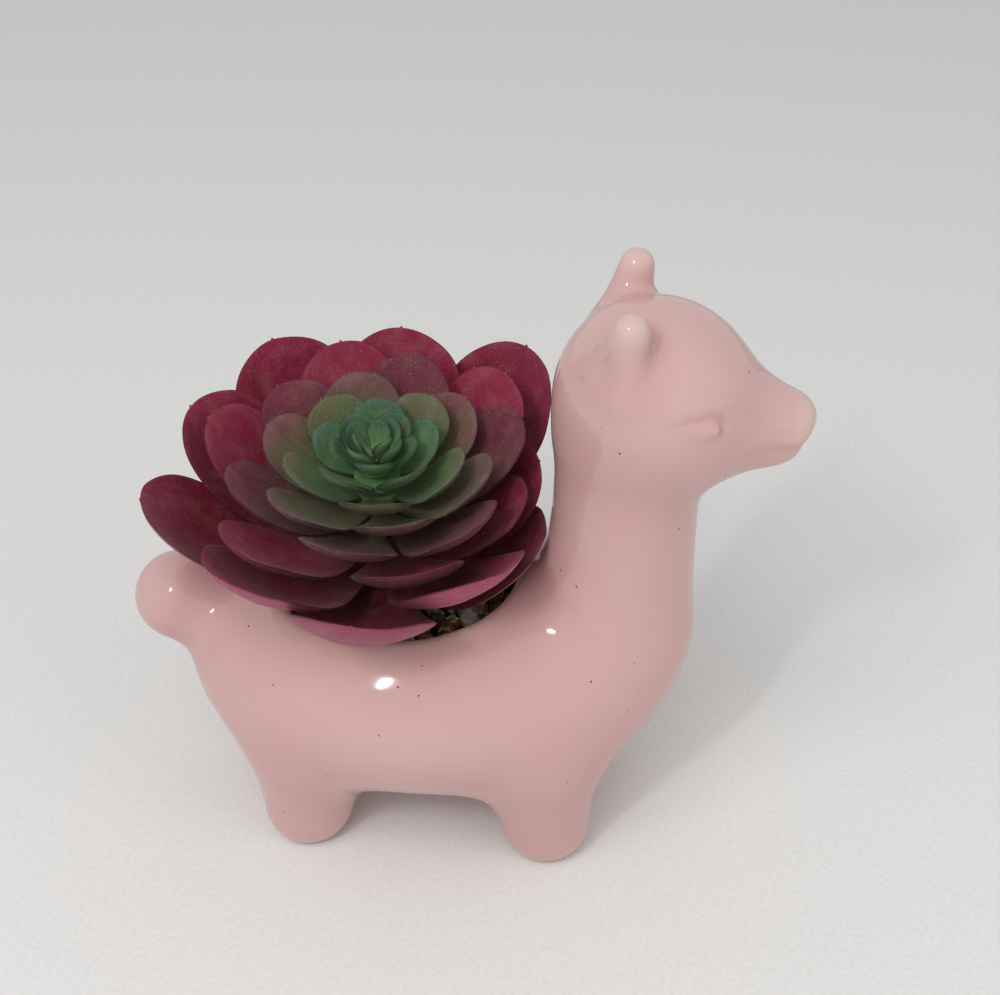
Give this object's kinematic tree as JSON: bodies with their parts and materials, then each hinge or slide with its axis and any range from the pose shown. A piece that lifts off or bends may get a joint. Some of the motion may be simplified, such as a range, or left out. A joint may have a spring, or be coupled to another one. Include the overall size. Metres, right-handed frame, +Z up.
{
  "type": "animal shaped planter",
  "caption": "Glazed ceramic planter in the form of a standing alpaca, with gravel and a push-in rosette succulent in the mouth in its back.",
  "frame": {"origin": "on the ground plane below the middle of the overall length and width", "axes": "+X from tail to nose, +Y to the animal's left, +Z up"},
  "size_m": [0.1471, 0.0923, 0.1338],
  "materials": {
    "glaze": "glossy pale pink glaze",
    "foam": "dry foam",
    "dark_stone": "wet-looking broken gravel",
    "amber_stone": "wet-looking broken gravel",
    "white_stone": "wet-looking broken gravel",
    "stem_plastic": "moulded stem",
    "outer_leaf": "soft moulded leaf, powdered",
    "middle_leaf": "soft moulded leaf, powdered",
    "inner_leaf": "soft moulded leaf, powdered"
  },
  "bodies": {
    "pot": {"planter_body": "glaze", "foam_plug": "foam", "gravel_dark": "dark_stone", "gravel_amber": "amber_stone", "gravel_white": "white_stone"},
    "succulent": {"stem": "stem_plastic", "leaf_whorl_1": "outer_leaf", "leaf_whorl_2": "outer_leaf", "leaf_whorl_3": "outer_leaf", "leaf_whorl_4": "middle_leaf", "leaf_whorl_5": "middle_leaf", "leaf_whorl_6": "inner_leaf", "leaf_whorl_7": "inner_leaf", "heart_bud": "inner_leaf"}
  },
  "joints": [
    {"name": "succulent_lift", "type": "slide", "parent": "pot", "child": "succulent", "axis": [0, -0.1736, 0.9848], "range_m": [0, 0.05]}
  ]
}
